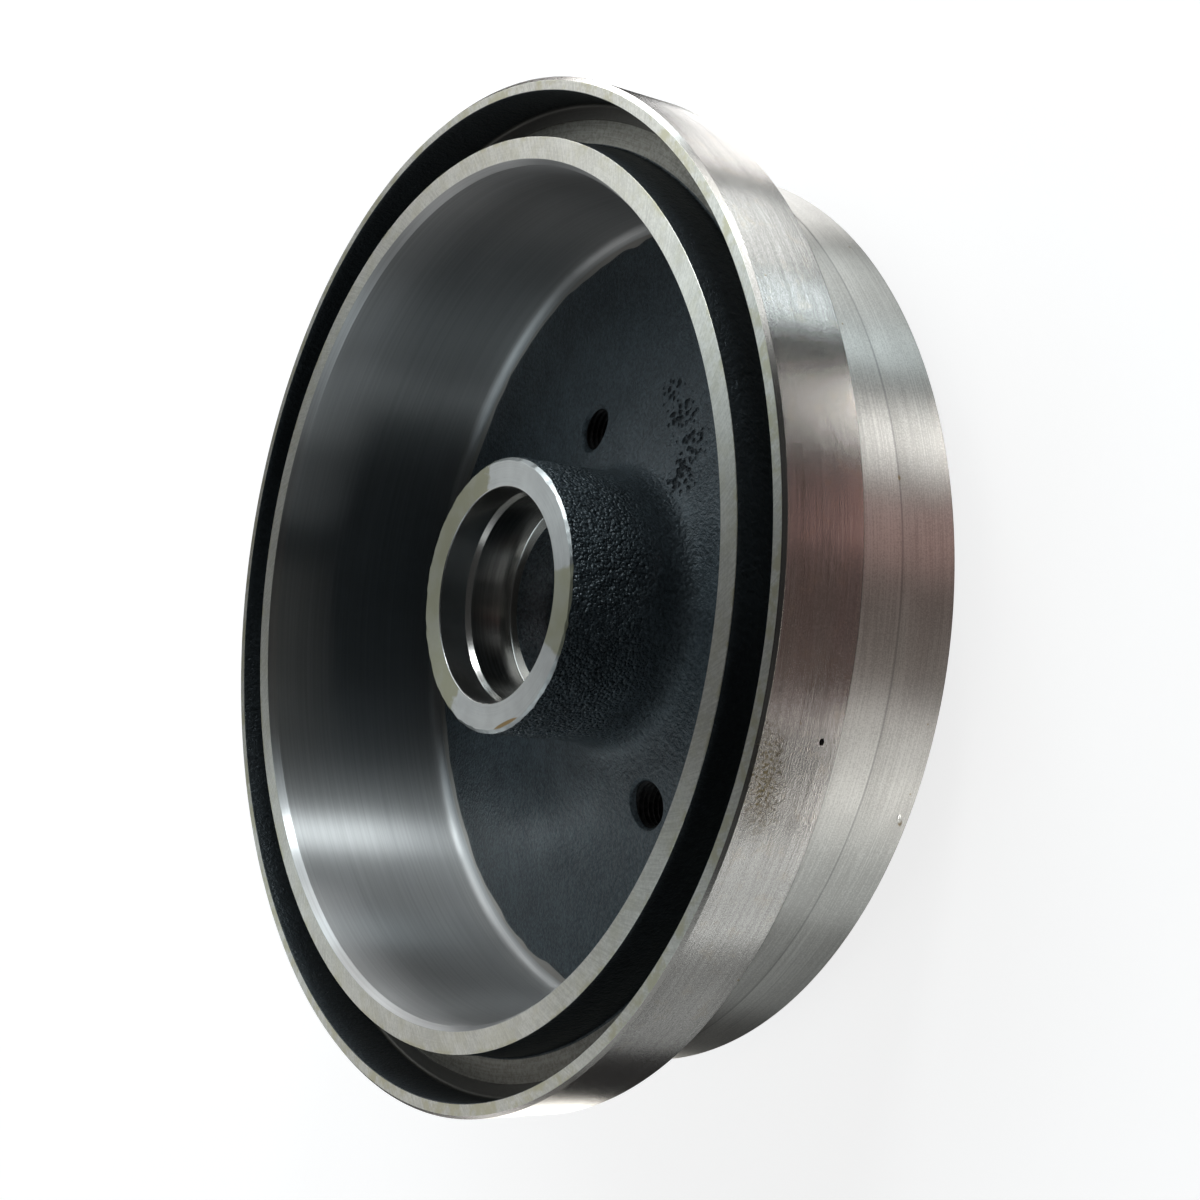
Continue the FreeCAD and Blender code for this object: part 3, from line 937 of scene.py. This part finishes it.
# The pits' insides are painted near black: painted shade in the hollows.
colour = blend(tree, reckon(tree, "MULTIPLY", pits, 0.92), colour, PIT_SHADE_BLACK)
rough = fade(tree, hub_side, 0.0, 1.0, SKIN_ROUGHNESS, HUB_ROUGHNESS)
rough = add_up(tree, (pits, 0.4), (sand, 0.08), start=rough)
relief = add_up(
    tree,
    (sand, SAND_RELIEF),
    (lumps, LUMP_RELIEF),
    (grains, -GRAIN_RELIEF),
    (pits, -PIT_DEPTH),
)
dress(tree, shader, colour, rough, relief)

# Dust groove's floor: a tool cut its inner part a little deeper and left it bright,
# and its outer part has stayed brown and dull.
GROOVE_LIGHT = (0.40, 0.385, 0.34)
GROOVE_DARK = (0.22, 0.21, 0.18)
GROOVE_BROWN = (0.10, 0.095, 0.085)
GROOVE_ROUGHNESS = 0.40
GROOVE_METAL = 0.7
GROOVE_FEED = 2.5
GROOVE_RING_LENGTH = 14.0
GROOVE_GRIT_SCALE = 1.1
GROOVE_RELIEF = 0.04

tree, shader = finish_of(GROOVE)
point, radius, _ = places(tree)
rings = lathe_rings(tree, GROOVE_FEED, GROOVE_RING_LENGTH)
grit = mottle(tree, point, GROOVE_GRIT_SCALE, 4.0, 0.7)
tone = add_up(tree, (grit, 0.65), (rings, 0.35))
colour = blend(tree, fade(tree, tone, 0.36, 0.64), GROOVE_DARK, GROOVE_LIGHT)
outer = fade(tree, radius, GROOVE_STEP_R - 0.1, GROOVE_STEP_R + 0.1)
colour = blend(tree, reckon(tree, "MULTIPLY", outer, 0.85), colour, GROOVE_BROWN)
shader.inputs["Metallic"].default_value = GROOVE_METAL
rough = add_up(tree, (grit, 0.2), start=GROOVE_ROUGHNESS)
dress(tree, shader, colour, rough, add_up(tree, (tone, GROOVE_RELIEF)))

# Hub's faced end: cut smooth and pale. Two stretches of it are painted a darker yellow as a
# painted reflection of the turned face's bow-tie pattern, and a thin brown run has dried by its
# edge.
HUB_PALE = (0.62, 0.65, 0.645)
HUB_GREY = (0.51, 0.535, 0.535)
HUB_REFLECTION_YELLOW = (0.40, 0.40, 0.30)
HUB_RUN = (0.30, 0.19, 0.05)
HUB_FACE_ROUGHNESS = 0.36
HUB_FACE_STRETCH = 0.4
HUB_FACE_FEED = 5.0
HUB_FACE_RING_LENGTH = 30.0
HUB_CLOUD_SCALE = 0.15
SECTOR_END_SCALE = 0.5
RUN_EDGE_R = 32.1
HUB_FACE_RELIEF = 0.006


def sector(tree, middle, half, ragged=0.02):
    """1 between two angles, middle minus half and middle plus half, in degrees.

    It compares the cosine of the angle from the middle with that of half, so ragged, a
    share of a noise that is added to it, moves the two ends in and out.
    """
    point, _, _ = places(tree)
    flat = steer(tree, "NORMALIZE", steer(tree, "MULTIPLY", point, (1.0, 1.0, 0.0)))
    turn = math.radians(middle)
    facing = steer(tree, "DOT_PRODUCT", flat, (math.cos(turn), math.sin(turn), 0.0))
    facing = add_up(tree, (mottle(tree, point, SECTOR_END_SCALE, 3.0), ragged), start=facing)
    edge = math.cos(math.radians(half)) + ragged / 2
    soft = math.sin(math.radians(half)) * 0.012 + ragged * 0.12
    return fade(tree, facing, edge - soft, edge + soft)


tree, shader = finish_of(HUB_FACE)
turned_gloss(tree, shader, HUB_FACE_STRETCH)
point, radius, _ = places(tree)
rings = lathe_rings(tree, HUB_FACE_FEED, HUB_FACE_RING_LENGTH)
clouds = mottle(tree, point, HUB_CLOUD_SCALE, 3.0)
tone = add_up(tree, (clouds, 0.6), (rings, 0.4))
colour = blend(tree, fade(tree, tone, 0.34, 0.66), HUB_GREY, HUB_PALE)
# Two sectors painted darker yellow by angle round the hub: painted reflection, not oil.
long_reflection_sector = sector(tree, middle=196.3, half=68.2, ragged=0.30)
short_reflection_sector = sector(tree, middle=17.5, half=18.2)
oil_and_reflection = reckon(tree, "MAXIMUM", long_reflection_sector, short_reflection_sector)
yellow = reckon(tree, "MULTIPLY", oil_and_reflection, fade(tree, clouds, 0.3, 0.6, 0.75, 1.0))
colour = blend(tree, yellow, colour, HUB_REFLECTION_YELLOW)
run = smudge(
    tree,
    at(-47.6, 31.9, HUB_DEPTH),
    along=6.2,
    across=30.0,
    ragged=0.08,
    edge=0.25,
    deep=0.75,
)
run = reckon(tree, "MULTIPLY", run, fade(tree, radius, RUN_EDGE_R, RUN_EDGE_R + 0.3, 0.9, 0.0))
colour = blend(tree, run, colour, HUB_RUN)
rough = add_up(tree, (clouds, 0.08), (oil_and_reflection, 0.10), start=HUB_FACE_ROUGHNESS)
dress(tree, shader, colour, rough, add_up(tree, (rings, HUB_FACE_RELIEF)))

# Bearing and seal bores: bored and honed to size, nearly a mirror, with fine rings. Their
# walls are painted dark as shade of the deep hub, and the lead and shoulder carry painted
# highlights.
SEAT_LIGHT = (0.25, 0.25, 0.24)
SEAT_DARK = (0.18, 0.18, 0.175)
SEAL_GREY = (0.50, 0.50, 0.49)
LEAD_PAINTED_HIGHLIGHT = (0.80, 0.79, 0.76)
SEAT_ROUGHNESS = 0.21
SEAT_STRETCH = 0.35
SEAT_FEED = 2.0
SEAT_RING_LENGTH = 50.0
SEAT_RELIEF = 0.0015

tree, shader = finish_of(BORES)
turned_gloss(tree, shader, SEAT_STRETCH)
_, _, height = places(tree)
rings = lathe_rings(tree, SEAT_FEED, SEAT_RING_LENGTH, 1.0)
# Dark wall colours: painted shade of the deep bores.
colour = blend(tree, fade(tree, rings, 0.35, 0.65), SEAT_DARK, SEAT_LIGHT)
lead_z = HEIGHT - HUB_DEPTH - SEAL_DEPTH - SEAT_LEAD / 2
shoulder_z = lead_z - SEAT_LEAD / 2 - SEAT_LENGTH
# The seal bore nearest the hub's end is painted lighter, with less painted shade.
in_seal = fade(tree, height, lead_z, lead_z + SEAT_LEAD, 0.0, 0.8)
colour = blend(tree, in_seal, colour, SEAL_GREY)
# Bright bands on the seat's lead and on the inner shoulder: painted highlights.
for middle, half in ((lead_z, SEAT_LEAD / 2), (shoulder_z, 0.2)):
    away = reckon(tree, "ABSOLUTE", reckon(tree, "SUBTRACT", height, middle))
    highlight_band = fade(tree, away, half - 0.1, half + 0.1, 1.0, 0.0)
    colour = blend(tree, highlight_band, colour, LEAD_PAINTED_HIGHLIGHT)
rough = add_up(tree, (rings, 0.05), start=SEAT_ROUGHNESS)
dress(tree, shader, colour, rough, add_up(tree, (rings, SEAT_RELIEF)))

# Wheel side: the seat and the pilot are turned to run true with the bearings, in the
# outside's colours and with a coarser feed.
WHEEL_ROUGHNESS = 0.27
WHEEL_STRETCH = 0.9
WHEEL_FEED = 2.2
WHEEL_RING_LENGTH = 60.0
WHEEL_CLOUD_SCALE = 0.05
WHEEL_RELIEF = 0.012

tree, shader = finish_of(WHEEL)
turned_gloss(tree, shader, WHEEL_STRETCH)
point, _, _ = places(tree)
rings = lathe_rings(tree, WHEEL_FEED, WHEEL_RING_LENGTH)
clouds = mottle(tree, point, WHEEL_CLOUD_SCALE, 3.0)
tone = add_up(tree, (clouds, 0.5), (rings, 0.5))
colour = blend(tree, fade(tree, tone, 0.34, 0.66), TURNED_DARK, TURNED_LIGHT)
rough = add_up(tree, (clouds, 0.12), start=WHEEL_ROUGHNESS)
dress(tree, shader, colour, rough, add_up(tree, (rings, WHEEL_RELIEF)))

# Threads of the wheel bolts: cut bright, but coloured near black as painted shade inside the
# holes.
THREAD_SHADE_DARK = (0.012, 0.012, 0.012)
THREAD_SHADE_GREY = (0.03, 0.03, 0.029)
THREAD_METAL = 0.8
THREAD_ROUGHNESS = 0.45
THREAD_MOTTLE_SCALE = 0.9
THREAD_MOTTLE_RELIEF = 0.03

tree, shader = finish_of(THREAD)
point, _, _ = places(tree)
thread_mottle = mottle(tree, point, THREAD_MOTTLE_SCALE, 3.0, 0.6)
# Near-black thread colours: painted shade in the deep holes.
colour = blend(tree, fade(tree, thread_mottle, 0.4, 0.65), THREAD_SHADE_DARK, THREAD_SHADE_GREY)
shader.inputs["Metallic"].default_value = THREAD_METAL
rough = add_up(tree, (thread_mottle, 0.2), start=THREAD_ROUGHNESS)
dress(tree, shader, colour, rough, add_up(tree, (thread_mottle, THREAD_MOTTLE_RELIEF)))

# Camera: it looks into the mouth from the photograph's viewing angle.
CAMERA_PLACE = (0.3646, 0.1353, 0.2895)
CAMERA_TURN = (10.1255, 55.2950, 32.3526)
LENS = 57.116

eye = bpy.data.cameras.new("camera")
eye.sensor_width = 36.0
eye.lens = LENS
eye.clip_start = 0.02
camera = bpy.data.objects.new("camera", eye)
camera.location = CAMERA_PLACE
camera.rotation_euler = [math.radians(angle) for angle in CAMERA_TURN]
bpy.context.collection.objects.link(camera)
bpy.context.scene.camera = camera

# Floor: a plain pale matte sheet lit evenly from inside, as a light table is. The lamps
# and the metal's gloss pass through it, so the drum is lit from below as well.
FLOOR_REACH = 3.0
FLOOR_PALE = (0.35, 0.35, 0.35, 1.0)
FLOOR_GLOW = 0.80

sheet = bpy.data.meshes.new("floor")
rim = np.array([(-1, -1, 0), (1, -1, 0), (1, 1, 0), (-1, 1, 0)]) * FLOOR_REACH
sheet.from_pydata(rim.tolist(), [], [(0, 1, 2, 3)])
floor = bpy.data.objects.new("floor", sheet)
bpy.context.collection.objects.link(floor)
floor.visible_glossy = False
floor.visible_diffuse = False
floor.visible_shadow = False

paint = bpy.data.materials.new("floor_pale")
paint.use_nodes = True
sheet.materials.append(paint)
shader = paint.node_tree.nodes["Principled BSDF"]
shader.inputs["Base Color"].default_value = FLOOR_PALE
shader.inputs["Roughness"].default_value = 1.0
shader.inputs["Specular IOR Level"].default_value = 0.0
shader.inputs["Emission Color"].default_value = (1.0, 1.0, 1.0, 1.0)
shader.inputs["Emission Strength"].default_value = FLOOR_GLOW

# Studio: softboxes round the drum, some above it and some below the light table. Each
# has its direction in degrees, its width and height in degrees, its power and its tint.
LAMP_REACH = 1.4
LAMP_CENTRE = np.array([0.0, 0.0, 0.04])
COOL = (0.93, 0.98, 1.0)
PLAIN = (1.0, 1.0, 1.0)
CREAM = (1.0, 0.97, 0.90)
ROSE = (1.0, 0.60, 0.56)
ICE = (0.82, 0.94, 1.0)
SOFTBOXES = [
    (22, -39, 44, 8, 0.12, ROSE),
    (49, -45, 18, 5, 0.25, ROSE),
    (68, -45, 9, 5, 0.5, PLAIN),
    (76, -45, 9, 5, 0.7, PLAIN),
    (337, -45, 18, 5, 0.4, PLAIN),
    (351, -45, 27, 5, 0.7, PLAIN),
    (324, -37, 27, 11, 0.6, COOL),
    (92, -35, 12, 5, 0.5, ICE),
    (110, -33, 24, 6, 0.8, COOL),
    (148, -35, 36, 6, 0.9, PLAIN),
    (297, -35, 40, 6, 0.3, COOL),
    (200, -27, 24, 14, 1.2, PLAIN),
    (240, -27, 16, 14, 1.2, CREAM),
    (0, -4, 54, 9, 5.5, CREAM),
    (54, 4, 72, 9, 1.2, CREAM),
    (150, 4, 72, 9, 9.4, PLAIN),
    (210, 4, 48, 9, 0.7, COOL),
    (258, 4, 72, 9, 2.3, PLAIN),
    (318, 4, 48, 9, 1.9, COOL),
    (348, 4, 36, 9, 0.8, COOL),
    (98, 15, 9, 14, 6.0, COOL),
    (132, 15, 12, 13, 1.2, ICE),
    (108, 32, 48, 20, 3.5, COOL),
    (144, 32, 72, 20, 4.3, PLAIN),
    (204, 32, 48, 20, 1.1, PLAIN),
    (240, 32, 24, 20, 0.9, PLAIN),
    (288, 32, 72, 20, 1.5, COOL),
    (140, 55, 80, 26, 3.4, ICE),
    (280, 55, 40, 26, 1.6, ICE),
]

for number, (turn, rise, wide, tall, watts, tint) in enumerate(SOFTBOXES):
    turn = math.radians(turn)
    rise = math.radians(rise)
    away = LAMP_REACH * np.array(
        [math.cos(rise) * math.cos(turn), math.cos(rise) * math.sin(turn), math.sin(rise)]
    )
    lamp = bpy.data.lights.new("softbox_%02d" % number, "AREA")
    lamp.shape = "RECTANGLE"
    lamp.size = 2 * LAMP_REACH * math.cos(rise) * math.tan(math.radians(wide / 2))
    lamp.size_y = 2 * LAMP_REACH * math.tan(math.radians(tall / 2))
    lamp.energy = watts
    lamp.color = tint
    softbox = bpy.data.objects.new("softbox_%02d" % number, lamp)
    softbox.location = away + LAMP_CENTRE
    softbox.rotation_euler = (math.pi / 2 - rise, 0.0, turn + math.pi / 2)
    softbox.visible_camera = False
    bpy.context.collection.objects.link(softbox)

# Walls of the studio: pale to look at, and dim enough to leave the lamps their work.
WALL_PALE = 0.9
WALL_LIGHT = 0.03

world = bpy.data.worlds.new("studio")
world.use_nodes = True
tree = world.node_tree
seen = node(tree, "LightPath", {}).outputs["Is Camera Ray"]
walls = tree.nodes["Background"]
walls.inputs["Color"].default_value = (1.0, 1.0, 1.0, 1.0)
join(tree, walls.inputs["Strength"], fade(tree, seen, 0.0, 1.0, WALL_LIGHT, WALL_PALE))
bpy.context.scene.world = world
bpy.context.scene.view_settings.view_transform = "Standard"
